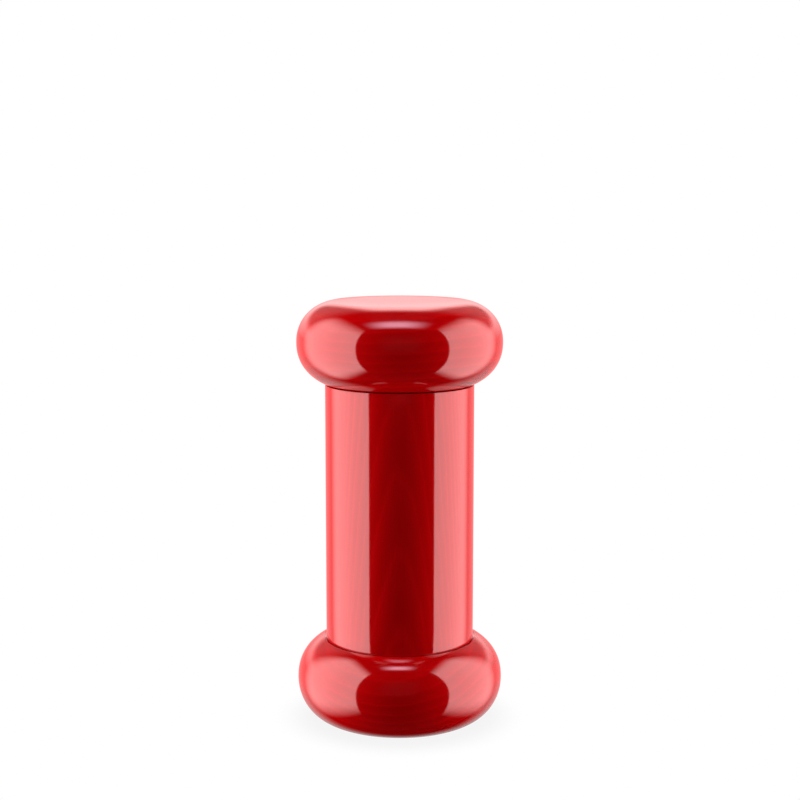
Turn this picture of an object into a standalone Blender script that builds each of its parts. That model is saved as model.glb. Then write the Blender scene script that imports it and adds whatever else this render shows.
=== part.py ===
"""Table mill turned from wood: a round foot, a straight body and a lift-off drive knob.

The knob turns a hexagonal shaft, which turns the inner burr of a ceramic grinding set that sits
in a housing screwed up into the foot. A wheel under the burrs raises and lowers the inner one.

Lengths below are in millimetres, and heights are measured from the surface that the mill stands
on. Every piece is turned about, or placed around, the Z axis, which is also the axis of every joint.
"""

import math

import bmesh
import bpy
from mathutils import Matrix

MM = 0.001
GAP = 0.3                       # clearance between neighbouring pieces

# Outline of the three turned wooden pieces
HEIGHT = 130.0
BODY_RADIUS = 22.75
FOOT_RADIUS = 31.6
FOOT_FLAT_RADIUS = 20.5
FOOT_WAIST = 12.8               # height of the foot's widest line
FOOT_TOP = 25.3
FOOT_RIM = (23.0, 25.5)         # inner radius and height of the eased edge round the body
KNOB_RADIUS = 31.4
KNOB_FLAT_RADIUS = 18.0
KNOB_WAIST = HEIGHT - 12.6      # height of the knob's widest line
KNOB_BOTTOM = 104.6
EDGE_ROUND = 0.5

# Bores and tenons in the wood
CHAMBER_RADIUS = 13.0
MECHANISM_RADIUS = 13.5         # bore for the grinder housing
MECHANISM_BORE_TOP = 28.0
TENON_RADIUS = 17.0
TENON_BOTTOM = 18.3
RECESS_RADIUS = 17.5
RECESS_DEPTH = 5.0
SPIGOT_RADIUS = CHAMBER_RADIUS - GAP
SPIGOT_BOTTOM = 97.0
SOCKET_BORE_RADIUS = 7.9
SOCKET_BORE_TOP = 118.0

# Grinder housing, a flanged cup
CUP_RADIUS = MECHANISM_RADIUS - GAP
CUP_BORE_RADIUS = 11.7
CUP_TOP = MECHANISM_BORE_TOP - GAP
FLANGE_RADIUS = RECESS_RADIUS - GAP
FLANGE_BOTTOM = 3.1
FLANGE_TOP = RECESS_DEPTH - GAP
LIP_RADIUS = 10.3
LIP_TOP = 5.4
LEDGE_HEIGHT = 22.6             # step in the cup that carries the shaft guide
LEDGE_BORE_RADIUS = 12.1

# Grinding set
OUTER_BURR_RADIUS = CUP_BORE_RADIUS - GAP
OUTER_BURR_BOTTOM = LIP_TOP + GAP
OUTER_BURR_TOP = 14.7
OUTER_BURR_MOUTH = 9.4          # radius at the top, where the corns enter
OUTER_BURR_THROAT = 8.4         # radius at its narrowest
OUTER_BURR_EXIT = 10.0          # radius at the bottom
THROAT_HEIGHT = 8.7
INNER_BURR_BOTTOM = 5.5
INNER_BURR_TOP = 15.2
INNER_BURR_RADII = (5.9, 7.4, 9.2)      # top, at the throat, bottom
INNER_BURR_BORE = 4.6
RING_BORE_RADIUS = 9.7
RING_THICKNESS = 1.2

# Burr carrier and its spring
CARRIER_RADIUS = INNER_BURR_BORE - GAP
CARRIER_BOTTOM = 6.0
CARRIER_FLANGE_RADIUS = 5.3
CARRIER_TOP = 16.5
SPRING_RADIUS = 4.4
SPRING_WIRE_RADIUS = 0.35
SPRING_TURNS = 4.5
SPRING_TOP = 21.8

# Shaft guide, a hub on three spokes
GUIDE_BOTTOM = LEDGE_HEIGHT + GAP
GUIDE_RING_TOP = 27.4
GUIDE_RING_BORE = 10.6
GUIDE_HUB_RADIUS = 4.5
GUIDE_HUB_BORE = 3.5
GUIDE_HUB_TOP = 28.9
SPOKE_COUNT = 3
SPOKE_WIDTH = 2.4
SPOKE_HEIGHTS = (24.4, 26.9)

# Drive shaft, a hexagonal bar
SHAFT_FLATS = 5.5               # distance across the flats
HEX_BORE_FLATS = SHAFT_FLATS + 2 * GAP
SHAFT_BOTTOM = 3.2
SHAFT_TOP = 114.0
SHAFT_BLANK_RADIUS = 3.3        # just outside the hexagon's corners
SHAFT_GROOVE_RADIUS = 2.3
THREAD_RADIUS = 2.4
THREAD_TOP = 8.0
NOSE_RADIUS = 2.0
NOSE_HEIGHT = 1.6
CLIP_BOTTOM = 29.3
CLIP_THICKNESS = 0.6
SNAP_HEIGHT = 110.4             # where the knob's wire clip grips the shaft
SNAP_SLOT = 1.6

# Adjusting wheel and what holds it on
WHEEL_RADIUS = 8.2
WHEEL_BOTTOM = 2.2
WHEEL_TOP = INNER_BURR_BOTTOM - GAP
WHEEL_WEB_BOTTOM = 4.0
WHEEL_WELL_RADIUS = 4.2
WHEEL_BORE = THREAD_RADIUS + GAP
WHEEL_FLUTES = 12
END_WASHER_RADIUS = 3.7
END_WASHER_TOP = SHAFT_BOTTOM - GAP
END_WASHER_THICKNESS = 0.5
END_SCREW_SHANK = 1.2
END_SCREW_HEAD = (2.3, 1.2, 2.1)        # radius, bottom, top

# Knob socket and the small screws
SOCKET_RADIUS = SOCKET_BORE_RADIUS - GAP
SOCKET_TOP = SOCKET_BORE_TOP - 0.5
SOCKET_FLANGE_RADIUS = 12.3
SOCKET_FLANGE_TOP = SPIGOT_BOTTOM - GAP
SOCKET_FLANGE_BOTTOM = SOCKET_FLANGE_TOP - 1.6
SOCKET_HEX_TOP = 115.5
SLOT_HALF_WIDTH = 4.4
WIRE_RADIUS = 0.5
WIRE_LEG_OFFSET = 3.6
WIRE_BEND_X = -3.0
WIRE_LEG_END_X = 6.2
SCREW_SHANK = 0.8
SCREW_HOLE = SCREW_SHANK + GAP
SCREW_HEAD_HEIGHT = 1.1
HOUSING_SCREW_COUNT = 4
HOUSING_SCREW_PLACE = 15.3      # distance from the axis
HOUSING_SCREW_HEAD = 1.5
HOUSING_SCREW_TIP = 10.5
SOCKET_SCREW_COUNT = 3
SOCKET_SCREW_PLACE = 10.6
SOCKET_SCREW_HEAD = 1.4
SOCKET_SCREW_TIP = 103.0

# Facets round each class of turned piece
WOOD_STEPS = 48
MECHANISM_STEPS = 32
SMALL_STEPS = 12
WHOLE_TURN = 2 * math.pi

FINISHES = {                    # colour, roughness, metallic
    "red_lacquer": ((0.42, 0.006, 0.006), 0.16, 0.0),
    "black_plastic": ((0.02, 0.02, 0.021), 0.42, 0.0),
    "grey_plastic": ((0.32, 0.33, 0.34), 0.45, 0.0),
    "ceramic": ((0.82, 0.80, 0.75), 0.38, 0.0),
    "aluminium": ((0.78, 0.79, 0.80), 0.32, 1.0),
    "steel": ((0.60, 0.60, 0.61), 0.28, 1.0),
}


def material(name):
    """The named finish, made once."""
    found = bpy.data.materials.get(name)
    if found:
        return found
    colour, roughness, metallic = FINISHES[name]
    made = bpy.data.materials.new(name)
    made.use_nodes = True
    shader = made.node_tree.nodes["Principled BSDF"]
    shader.inputs["Base Color"].default_value = (*colour, 1.0)
    shader.inputs["Roughness"].default_value = roughness
    shader.inputs["Metallic"].default_value = metallic
    return made


def swell(centre, waist, reach, rise, power, count, cut=None):
    """A quarter of a superellipse as (radius, height) points, ending at the waist.

    It starts level at the radius centre, or where it is cut off at a height of cut from the waist.
    """
    start = 0.0
    if cut is not None:
        start = math.acos(abs(cut / rise) ** (power / 2))
    points = []
    for i in range(count):
        angle = start + (math.pi / 2 - start) * i / (count - 1)
        across = max(math.sin(angle), 0.0) ** (2 / power)
        up = max(math.cos(angle), 0.0) ** (2 / power)
        points.append((centre + reach * across, waist + rise * up))
    return points


def link(obj, collection, parent=None):
    collection.objects.link(obj)
    obj.parent = parent
    return obj


def lathe(name, outline, steps, finish, parent, place=(0.0, 0.0)):
    """A solid turned from (radius, height) points that run down its outer side.

    An outline that starts and ends on the axis is solid, and any other is closed into a ring.
    """
    points = [(r * MM, 0.0, z * MM) for r, z in outline]
    edges = [(i, i + 1) for i in range(len(points) - 1)]
    if outline[0][0] > 0:
        edges.append((len(points) - 1, 0))
    mesh = bpy.data.meshes.new(name)
    mesh.from_pydata(points, edges, [])
    obj = link(bpy.data.objects.new(name, mesh), PARTS, parent)
    obj.location = (place[0] * MM, place[1] * MM, 0.0)
    turn = obj.modifiers.new("turn", "SCREW")
    turn.axis = "Z"
    turn.angle = WHOLE_TURN
    turn.steps = turn.render_steps = steps
    turn.use_merge_vertices = True
    turn.merge_threshold = 0.01 * MM
    turn.use_smooth_shade = True
    mesh.materials.append(material(finish))
    return obj


def hidden_solid(name, build):
    """A helper solid for a Boolean, filled in by build(bm) and kept out of sight."""
    bm = bmesh.new()
    build(bm)
    mesh = bpy.data.meshes.new(name)
    bm.to_mesh(mesh)
    bm.free()
    obj = link(bpy.data.objects.new(name, mesh), CUTTERS)
    obj.hide_render = True
    obj.display_type = "WIRE"
    return obj


def prism(name, radius, low, high, segments, x=0.0, y=0.0, turn=0.0):
    """A hidden upright prism or cylinder."""
    place = Matrix.Translation((x * MM, y * MM, (low + high) / 2 * MM))
    place = place @ Matrix.Rotation(turn, 4, "Z")

    def build(bm):
        bmesh.ops.create_cone(
            bm, cap_ends=True, segments=segments, radius1=radius * MM, radius2=radius * MM,
            depth=(high - low) * MM, matrix=place,
        )

    return hidden_solid(name, build)


def hexagon(name, flats, low, high):
    """A hidden hexagonal bar with two of its flats facing along Y."""
    return prism(name, flats / math.sqrt(3), low, high, 6, turn=math.pi / 2)


def block(name, x_span, half_width, low, high, turn=0.0):
    """A hidden box along X from x_span[0] to x_span[1], turned about the Z axis."""
    length = x_span[1] - x_span[0]
    middle = Matrix.Translation((sum(x_span) / 2 * MM, 0.0, (low + high) / 2 * MM))
    size = Matrix.Diagonal((length * MM, 2 * half_width * MM, (high - low) * MM, 1.0))

    def build(bm):
        bmesh.ops.create_cube(bm, size=1.0, matrix=Matrix.Rotation(turn, 4, "Z") @ middle @ size)

    return hidden_solid(name, build)


def boolean(obj, other, operation="DIFFERENCE"):
    step = obj.modifiers.new(other.name, "BOOLEAN")
    step.operation = operation
    step.solver = "EXACT"
    step.object = other


def around(count, radius, first=0.0):
    """Places evenly spread round the axis, as (x, y)."""
    angles = [first + WHOLE_TURN * i / count for i in range(count)]
    return [(radius * math.cos(a), radius * math.sin(a)) for a in angles]


def drill(obj, places, radius, low, high):
    for number, (x, y) in enumerate(places, 1):
        name = f"{obj.name}_hole_{number}"
        boolean(obj, prism(name, radius, low, high, SMALL_STEPS, x, y))


def wire(name, points, radius, finish, parent):
    """A round wire through points given in millimetres."""
    curve = bpy.data.curves.new(name, "CURVE")
    curve.dimensions = "3D"
    curve.bevel_depth = radius * MM
    curve.bevel_resolution = 2
    curve.use_fill_caps = True
    spline = curve.splines.new("POLY")
    spline.points.add(len(points) - 1)
    for point, (x, y, z) in zip(spline.points, points):
        point.co = (x * MM, y * MM, z * MM, 1.0)
    curve.materials.append(material(finish))
    return link(bpy.data.objects.new(name, curve), PARTS, parent)


def assembly(name, parent=None):
    """An empty on the Z axis that a group of pieces moves with."""
    return link(bpy.data.objects.new(name, None), PARTS, parent)


def pan_screw(name, place, head_radius, head_top, tip, parent):
    """A pan-head screw that points up, with its head under head_top."""
    x, y = place
    head_bottom = head_top - SCREW_HEAD_HEIGHT
    crown = head_radius * 0.7
    outline = [
        (0.0, tip),
        (SCREW_SHANK, tip - 2 * SCREW_SHANK),
        (SCREW_SHANK, head_top),
        (head_radius, head_top),
        (head_radius, head_top - SCREW_HEAD_HEIGHT * 0.55),
        (crown, head_bottom),
        (0.0, head_bottom),
    ]
    return lathe(name, outline, SMALL_STEPS, "steel", parent, (x, y))


def make_foot(parent):
    rim_radius, rim_height = FOOT_RIM
    upper = swell(12.8, FOOT_WAIST, FOOT_RADIUS - 12.8, 14.7, 2.24, 9, rim_height - FOOT_WAIST)
    lower = swell(
        FOOT_FLAT_RADIUS, FOOT_WAIST, FOOT_RADIUS - FOOT_FLAT_RADIUS, -FOOT_WAIST, 2.0, 8
    )
    tenon_hole = TENON_RADIUS + GAP
    floor = TENON_BOTTOM - GAP
    outline = [(tenon_hole, FOOT_TOP), (rim_radius, FOOT_TOP)] + upper + lower[-2::-1]
    outline += [
        (RECESS_RADIUS, 0.0),
        (RECESS_RADIUS, RECESS_DEPTH),
        (MECHANISM_RADIUS, RECESS_DEPTH),
        (MECHANISM_RADIUS, floor),
        (tenon_hole, floor),
    ]
    foot = lathe("foot", outline, WOOD_STEPS, "red_lacquer", parent)
    places = around(HOUSING_SCREW_COUNT, HOUSING_SCREW_PLACE, math.pi / 4)
    drill(foot, places, SCREW_HOLE, RECESS_DEPTH - 1.0, HOUSING_SCREW_TIP + GAP)


def make_body(parent):
    top = KNOB_BOTTOM - GAP
    bottom = FOOT_TOP + GAP
    outline = [
        (CHAMBER_RADIUS, top),
        (BODY_RADIUS - EDGE_ROUND, top),
        (BODY_RADIUS, top - EDGE_ROUND),
        (BODY_RADIUS, bottom + GAP),
        (BODY_RADIUS - GAP, bottom),
        (TENON_RADIUS, bottom),
        (TENON_RADIUS, TENON_BOTTOM),
        (MECHANISM_RADIUS, TENON_BOTTOM),
        (MECHANISM_RADIUS, MECHANISM_BORE_TOP),
        (CHAMBER_RADIUS, MECHANISM_BORE_TOP),
    ]
    lathe("body", outline, WOOD_STEPS, "red_lacquer", parent)


def make_housing(parent):
    outline = [
        (LEDGE_BORE_RADIUS, CUP_TOP),
        (CUP_RADIUS, CUP_TOP),
        (CUP_RADIUS, FLANGE_TOP),
        (FLANGE_RADIUS, FLANGE_TOP),
        (FLANGE_RADIUS, FLANGE_BOTTOM),
        (LIP_RADIUS, FLANGE_BOTTOM),
        (LIP_RADIUS, LIP_TOP),
        (CUP_BORE_RADIUS, LIP_TOP),
        (CUP_BORE_RADIUS, LEDGE_HEIGHT),
        (LEDGE_BORE_RADIUS, LEDGE_HEIGHT),
    ]
    housing = lathe("grinder_housing", outline, MECHANISM_STEPS, "black_plastic", parent)
    places = around(HOUSING_SCREW_COUNT, HOUSING_SCREW_PLACE, math.pi / 4)
    drill(housing, places, SCREW_HOLE, FLANGE_BOTTOM - 1.0, FLANGE_TOP + 1.0)
    for number, place in enumerate(places, 1):
        pan_screw(
            f"housing_screw_{number}", place, HOUSING_SCREW_HEAD,
            FLANGE_BOTTOM - GAP, HOUSING_SCREW_TIP, parent,
        )


def make_outer_burr(parent):
    outline = [
        (OUTER_BURR_MOUTH, OUTER_BURR_TOP),
        (OUTER_BURR_RADIUS, OUTER_BURR_TOP),
        (OUTER_BURR_RADIUS, OUTER_BURR_BOTTOM),
        (OUTER_BURR_EXIT, OUTER_BURR_BOTTOM),
        (OUTER_BURR_THROAT, THROAT_HEIGHT),
    ]
    lathe("outer_burr", outline, MECHANISM_STEPS, "ceramic", parent)
    bottom = OUTER_BURR_TOP + GAP
    ring = [
        (RING_BORE_RADIUS, bottom + RING_THICKNESS),
        (OUTER_BURR_RADIUS, bottom + RING_THICKNESS),
        (OUTER_BURR_RADIUS, bottom),
        (RING_BORE_RADIUS, bottom),
    ]
    lathe("burr_retaining_ring", ring, MECHANISM_STEPS, "grey_plastic", parent)


def make_guide(parent):
    hub = [
        (GUIDE_HUB_BORE, GUIDE_HUB_TOP),
        (GUIDE_HUB_RADIUS, GUIDE_HUB_TOP),
        (GUIDE_HUB_RADIUS, GUIDE_BOTTOM),
        (GUIDE_HUB_BORE, GUIDE_BOTTOM),
    ]
    guide = lathe("shaft_guide", hub, MECHANISM_STEPS, "black_plastic", parent)
    rim_radius = LEDGE_BORE_RADIUS - GAP
    rim = prism("guide_rim", rim_radius, GUIDE_BOTTOM, GUIDE_RING_TOP, MECHANISM_STEPS)
    boolean(rim, prism("guide_rim_bore", GUIDE_RING_BORE, 20.0, 30.0, MECHANISM_STEPS))
    for number in range(SPOKE_COUNT):
        angle = math.pi / 2 + WHOLE_TURN * number / SPOKE_COUNT
        span = (GUIDE_HUB_RADIUS - 0.5, GUIDE_RING_BORE + 0.6)
        name = f"guide_spoke_{number + 1}"
        boolean(guide, block(name, span, SPOKE_WIDTH / 2, *SPOKE_HEIGHTS, angle), "UNION")
    boolean(guide, rim, "UNION")


def make_shaft(parent):
    def groove(low, high):
        return [
            (SHAFT_BLANK_RADIUS, high),
            (SHAFT_GROOVE_RADIUS, high),
            (SHAFT_GROOVE_RADIUS, low),
            (SHAFT_BLANK_RADIUS, low),
        ]

    hole_radius = END_SCREW_SHANK + GAP
    outline = [(0.0, SHAFT_TOP), (NOSE_RADIUS, SHAFT_TOP)]
    outline += [(SHAFT_BLANK_RADIUS, SHAFT_TOP - NOSE_HEIGHT)]
    outline += groove(SNAP_HEIGHT - SNAP_SLOT / 2, SNAP_HEIGHT + SNAP_SLOT / 2)
    outline += groove(CLIP_BOTTOM - GAP, CLIP_BOTTOM + CLIP_THICKNESS + GAP)
    outline += [
        (SHAFT_BLANK_RADIUS, THREAD_TOP),
        (THREAD_RADIUS, THREAD_TOP),
        (THREAD_RADIUS, SHAFT_BOTTOM),
        (hole_radius, SHAFT_BOTTOM),
        (hole_radius, SHAFT_BOTTOM + 4.0),
        (0.0, SHAFT_BOTTOM + 4.0),
    ]
    shaft = lathe("drive_shaft", outline, MECHANISM_STEPS, "aluminium", parent)
    bar = hexagon("shaft_hexagon", SHAFT_FLATS, SHAFT_BOTTOM - 1.0, SHAFT_TOP + 1.0)
    boolean(shaft, bar, "INTERSECT")


def make_shaft_fittings(parent):
    clip_radius = 5.2
    clip_bore = SHAFT_GROOVE_RADIUS + 0.35
    clip = [
        (clip_bore, CLIP_BOTTOM + CLIP_THICKNESS),
        (clip_radius, CLIP_BOTTOM + CLIP_THICKNESS),
        (clip_radius, CLIP_BOTTOM),
        (clip_bore, CLIP_BOTTOM),
    ]
    clip = lathe("shaft_clip", clip, MECHANISM_STEPS, "steel", parent)
    boolean(clip, block("clip_mouth", (1.0, clip_radius + 1.0), 2.0, 28.0, 31.0))

    washer_radius = 5.0
    washer_top = GUIDE_BOTTOM - GAP
    washer_bottom = SPRING_TOP + GAP
    washer = [
        (GUIDE_HUB_BORE, washer_top),
        (washer_radius, washer_top),
        (washer_radius, washer_bottom),
        (GUIDE_HUB_BORE, washer_bottom),
    ]
    lathe("spring_washer", washer, MECHANISM_STEPS, "steel", parent)

    low = CARRIER_TOP + GAP + SPRING_WIRE_RADIUS
    high = SPRING_TOP - SPRING_WIRE_RADIUS
    per_turn = 14
    count = int(SPRING_TURNS * per_turn)
    coil = []
    for i in range(count + 1):
        angle = WHOLE_TURN * i / per_turn
        height = low + (high - low) * i / count
        coil.append((SPRING_RADIUS * math.cos(angle), SPRING_RADIUS * math.sin(angle), height))
    wire("pressure_spring", coil, SPRING_WIRE_RADIUS, "steel", parent)

    end_washer = [
        (END_SCREW_SHANK + GAP, END_WASHER_TOP),
        (END_WASHER_RADIUS, END_WASHER_TOP),
        (END_WASHER_RADIUS, END_WASHER_TOP - END_WASHER_THICKNESS),
        (END_SCREW_SHANK + GAP, END_WASHER_TOP - END_WASHER_THICKNESS),
    ]
    lathe("end_washer", end_washer, MECHANISM_STEPS, "steel", parent)

    head_radius, head_bottom, head_top = END_SCREW_HEAD
    screw = [
        (0.0, SHAFT_BOTTOM + 3.6),
        (END_SCREW_SHANK, SHAFT_BOTTOM + 3.0),
        (END_SCREW_SHANK, head_top),
        (head_radius, head_top),
        (head_radius, head_bottom + 0.3),
        (head_radius - 0.5, head_bottom),
        (0.0, head_bottom),
    ]
    lathe("end_screw", screw, 2 * SMALL_STEPS, "steel", parent)


def make_inner_burr(parent):
    top, throat, bottom = INNER_BURR_RADII
    outline = [
        (INNER_BURR_BORE, INNER_BURR_TOP),
        (top, INNER_BURR_TOP),
        (throat, THROAT_HEIGHT + 0.2),
        (bottom, INNER_BURR_BOTTOM),
        (INNER_BURR_BORE, INNER_BURR_BOTTOM),
    ]
    lathe("inner_burr", outline, MECHANISM_STEPS, "ceramic", parent)

    shoulder = INNER_BURR_TOP + GAP
    carrier = [
        (0.0, CARRIER_TOP),
        (CARRIER_FLANGE_RADIUS, CARRIER_TOP),
        (CARRIER_FLANGE_RADIUS, shoulder),
        (CARRIER_RADIUS, shoulder),
        (CARRIER_RADIUS, CARRIER_BOTTOM),
        (0.0, CARRIER_BOTTOM),
    ]
    carrier = lathe("burr_carrier", carrier, MECHANISM_STEPS, "grey_plastic", parent)
    boolean(carrier, hexagon("carrier_bore", HEX_BORE_FLATS, CARRIER_BOTTOM - 1, CARRIER_TOP + 1))


def make_wheel(parent):
    outline = [
        (WHEEL_BORE, WHEEL_TOP),
        (WHEEL_RADIUS, WHEEL_TOP),
        (WHEEL_RADIUS, WHEEL_BOTTOM),
        (WHEEL_WELL_RADIUS, WHEEL_BOTTOM),
        (WHEEL_WELL_RADIUS, WHEEL_WEB_BOTTOM),
        (WHEEL_BORE, WHEEL_WEB_BOTTOM),
    ]
    wheel = lathe("adjusting_wheel", outline, 2 * WHEEL_FLUTES, "grey_plastic", parent)
    first = math.pi / WHEEL_FLUTES
    places = around(WHEEL_FLUTES, WHEEL_RADIUS + 0.5, first)
    drill(wheel, places, 1.1, WHEEL_BOTTOM - 1.0, WHEEL_TOP + 1.0)


def make_knob(parent):
    upper = swell(
        KNOB_FLAT_RADIUS, KNOB_WAIST, KNOB_RADIUS - KNOB_FLAT_RADIUS, HEIGHT - KNOB_WAIST, 2.07, 8
    )
    lower = swell(12.0, KNOB_WAIST, KNOB_RADIUS - 12.0, -14.15, 2.3, 9, KNOB_WAIST - KNOB_BOTTOM)
    outline = [(0.0, HEIGHT)] + upper + lower[-2::-1]
    outline += [
        (SPIGOT_RADIUS, KNOB_BOTTOM),
        (SPIGOT_RADIUS, SPIGOT_BOTTOM),
        (SOCKET_BORE_RADIUS, SPIGOT_BOTTOM),
        (SOCKET_BORE_RADIUS, SOCKET_BORE_TOP),
        (0.0, SOCKET_BORE_TOP),
    ]
    knob = lathe("knob", outline, WOOD_STEPS, "red_lacquer", parent)
    places = around(SOCKET_SCREW_COUNT, SOCKET_SCREW_PLACE, math.pi / 2)
    drill(knob, places, SCREW_HOLE, SPIGOT_BOTTOM - 1.0, SOCKET_SCREW_TIP + GAP)


def make_socket(parent):
    outline = [
        (0.0, SOCKET_TOP),
        (SOCKET_RADIUS, SOCKET_TOP),
        (SOCKET_RADIUS, SOCKET_FLANGE_TOP),
        (SOCKET_FLANGE_RADIUS, SOCKET_FLANGE_TOP),
        (SOCKET_FLANGE_RADIUS, SOCKET_FLANGE_BOTTOM),
        (0.0, SOCKET_FLANGE_BOTTOM),
    ]
    socket = lathe("knob_socket", outline, MECHANISM_STEPS, "black_plastic", parent)
    below = SOCKET_FLANGE_BOTTOM - 1.0
    boolean(socket, hexagon("socket_bore", HEX_BORE_FLATS, below, SOCKET_HEX_TOP))
    low = SNAP_HEIGHT - SNAP_SLOT / 2
    reach = SOCKET_RADIUS + 1.0
    slot = block("socket_slot", (-reach, reach), SLOT_HALF_WIDTH, low, low + SNAP_SLOT)
    boolean(socket, slot)
    places = around(SOCKET_SCREW_COUNT, SOCKET_SCREW_PLACE, math.pi / 2)
    drill(socket, places, SCREW_HOLE, below, SOCKET_FLANGE_TOP + 1.0)
    for number, place in enumerate(places, 1):
        pan_screw(
            f"socket_screw_{number}", place, SOCKET_SCREW_HEAD,
            SOCKET_FLANGE_BOTTOM - GAP, SOCKET_SCREW_TIP, parent,
        )


def make_socket_clip(parent):
    """A hairpin of spring wire: two legs along the shaft's flats, joined by a round bend."""
    bend_steps = 10
    hairpin = [(WIRE_LEG_END_X, WIRE_LEG_OFFSET, SNAP_HEIGHT)]
    for i in range(bend_steps + 1):
        angle = math.pi / 2 + math.pi * i / bend_steps
        x = WIRE_BEND_X + WIRE_LEG_OFFSET * math.cos(angle)
        hairpin.append((x, WIRE_LEG_OFFSET * math.sin(angle), SNAP_HEIGHT))
    hairpin.append((WIRE_LEG_END_X, -WIRE_LEG_OFFSET, SNAP_HEIGHT))
    wire("socket_clip", hairpin, WIRE_RADIUS, "steel", parent)


def collection(name):
    made = bpy.data.collections.new(name)
    bpy.context.scene.collection.children.link(made)
    return made


for old in list(bpy.data.objects):
    bpy.data.objects.remove(old)

PARTS = collection("table_mill")
CUTTERS = collection("cutters")

base = assembly("base_assembly")
make_foot(base)
make_body(base)
make_housing(base)
make_outer_burr(base)
make_guide(base)

shaft = assembly("shaft_assembly", base)
make_shaft(shaft)
make_shaft_fittings(shaft)

burr = assembly("burr_assembly", shaft)
make_inner_burr(burr)

wheel = assembly("wheel_assembly", burr)
make_wheel(wheel)

knob = assembly("knob_assembly", shaft)
make_knob(knob)
make_socket(knob)
make_socket_clip(knob)
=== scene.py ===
import math

import bmesh
import bpy
from mathutils import Matrix, Vector


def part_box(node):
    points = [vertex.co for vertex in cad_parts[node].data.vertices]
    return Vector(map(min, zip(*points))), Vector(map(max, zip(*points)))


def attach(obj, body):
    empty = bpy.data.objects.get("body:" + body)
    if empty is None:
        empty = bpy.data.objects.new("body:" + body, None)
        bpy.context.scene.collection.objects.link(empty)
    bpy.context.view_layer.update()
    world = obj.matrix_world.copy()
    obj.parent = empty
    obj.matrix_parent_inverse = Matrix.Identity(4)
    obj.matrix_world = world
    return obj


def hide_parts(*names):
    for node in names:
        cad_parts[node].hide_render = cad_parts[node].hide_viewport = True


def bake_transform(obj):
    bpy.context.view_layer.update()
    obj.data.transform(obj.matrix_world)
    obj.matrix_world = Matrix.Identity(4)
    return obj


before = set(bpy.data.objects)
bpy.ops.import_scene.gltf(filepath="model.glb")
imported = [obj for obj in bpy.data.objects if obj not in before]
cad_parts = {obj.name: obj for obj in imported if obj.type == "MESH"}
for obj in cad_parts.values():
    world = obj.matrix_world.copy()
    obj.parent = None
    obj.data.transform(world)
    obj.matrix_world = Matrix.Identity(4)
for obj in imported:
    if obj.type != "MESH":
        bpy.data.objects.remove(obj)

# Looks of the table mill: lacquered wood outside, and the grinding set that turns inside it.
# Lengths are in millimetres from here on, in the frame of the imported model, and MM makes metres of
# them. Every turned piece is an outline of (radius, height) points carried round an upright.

MM = 0.001
WHOLE_TURN = 2 * math.pi
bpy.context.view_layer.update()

ROUND = 160  # facets round the wooden pieces
FINE = 96  # facets round the pieces of the mechanism
SMALL = 40  # facets round the screws
GAP = 0.3  # air between neighbouring pieces


# ---- Materials ----

class Graph:
    """Nodes in the making. Most methods add some and give back an output socket."""

    def __init__(self, tree):
        self.tree = tree

    def plug(self, value, socket):
        """Feeds a socket from another node's output, or sets it to a constant."""
        if isinstance(value, bpy.types.NodeSocket):
            self.tree.links.new(value, socket)
        else:
            socket.default_value = value

    def node(self, kind, inputs=(), **settings):
        made = self.tree.nodes.new(kind)
        for name, value in settings.items():
            setattr(made, name, value)
        for name, value in dict(inputs).items():
            self.plug(value, made.inputs[name])
        return made

    def noise(self, vector, scale, detail=2.0, roughness=0.5):
        return self.node(
            "ShaderNodeTexNoise",
            {"Vector": vector, "Scale": scale, "Detail": detail, "Roughness": roughness},
        ).outputs["Fac"]

    def maths(self, operation, first, second=0.0, third=0.0):
        return self.node(
            "ShaderNodeMath", {0: first, 1: second, 2: third}, operation=operation
        ).outputs[0]

    def spread(self, value, low, high, start=0.0, end=1.0, smooth=True):
        """The value carried from low..high to start..end and held there."""
        kind = "SMOOTHSTEP" if smooth else "LINEAR"
        return self.node(
            "ShaderNodeMapRange",
            {"Value": value, "From Min": low, "From Max": high, "To Min": start, "To Max": end},
            interpolation_type=kind,
        ).outputs["Result"]

    def mix(self, share, first, second):
        made = self.node("ShaderNodeMix", {0: share, 6: first, 7: second}, data_type="RGBA")
        return made.outputs[2]


class Look(Graph):
    """The nodes of a material."""

    def __init__(self, name):
        self.material = bpy.data.materials.new(name)
        self.material.use_nodes = True
        super().__init__(self.material.node_tree)
        self.shader = self.tree.nodes["Principled BSDF"]
        self.place = None

    def millimetres(self):
        """The surface's own coordinates, which ride with the piece."""
        if self.place is None:
            own = self.node("ShaderNodeTexCoord").outputs["Object"]
            self.place = self.node(
                "ShaderNodeVectorMath", {0: own, 1: (1 / MM, 1 / MM, 1 / MM)}, operation="MULTIPLY"
            ).outputs[0]
        return self.place

    def stretched(self, vector, scale, turn=(0.0, 0.0, 0.0)):
        return self.node(
            "ShaderNodeMapping", {"Vector": vector, "Scale": scale, "Rotation": turn}
        ).outputs[0]

    def relief(self, height, depth):
        """Bump of a given depth in millimetres."""
        bump = self.node(
            "ShaderNodeBump", {"Height": height, "Distance": depth * MM, "Strength": 1.0}
        )
        self.plug(bump.outputs["Normal"], self.shader.inputs["Normal"])

    def colour(self, value):
        self.plug(value, self.shader.inputs["Base Color"])

    def gloss(self, roughness, metallic=0.0, ior=1.5):
        self.plug(roughness, self.shader.inputs["Roughness"])
        self.shader.inputs["Metallic"].default_value = metallic
        self.shader.inputs["IOR"].default_value = ior

    def surface(self, shader):
        """Puts the output of another shader in the place of the usual one's."""
        self.tree.nodes.remove(self.shader)
        self.plug(shader, self.tree.nodes["Material Output"].inputs["Surface"])


def rgb(red, green, blue):
    return (red, green, blue, 1.0)


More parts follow.
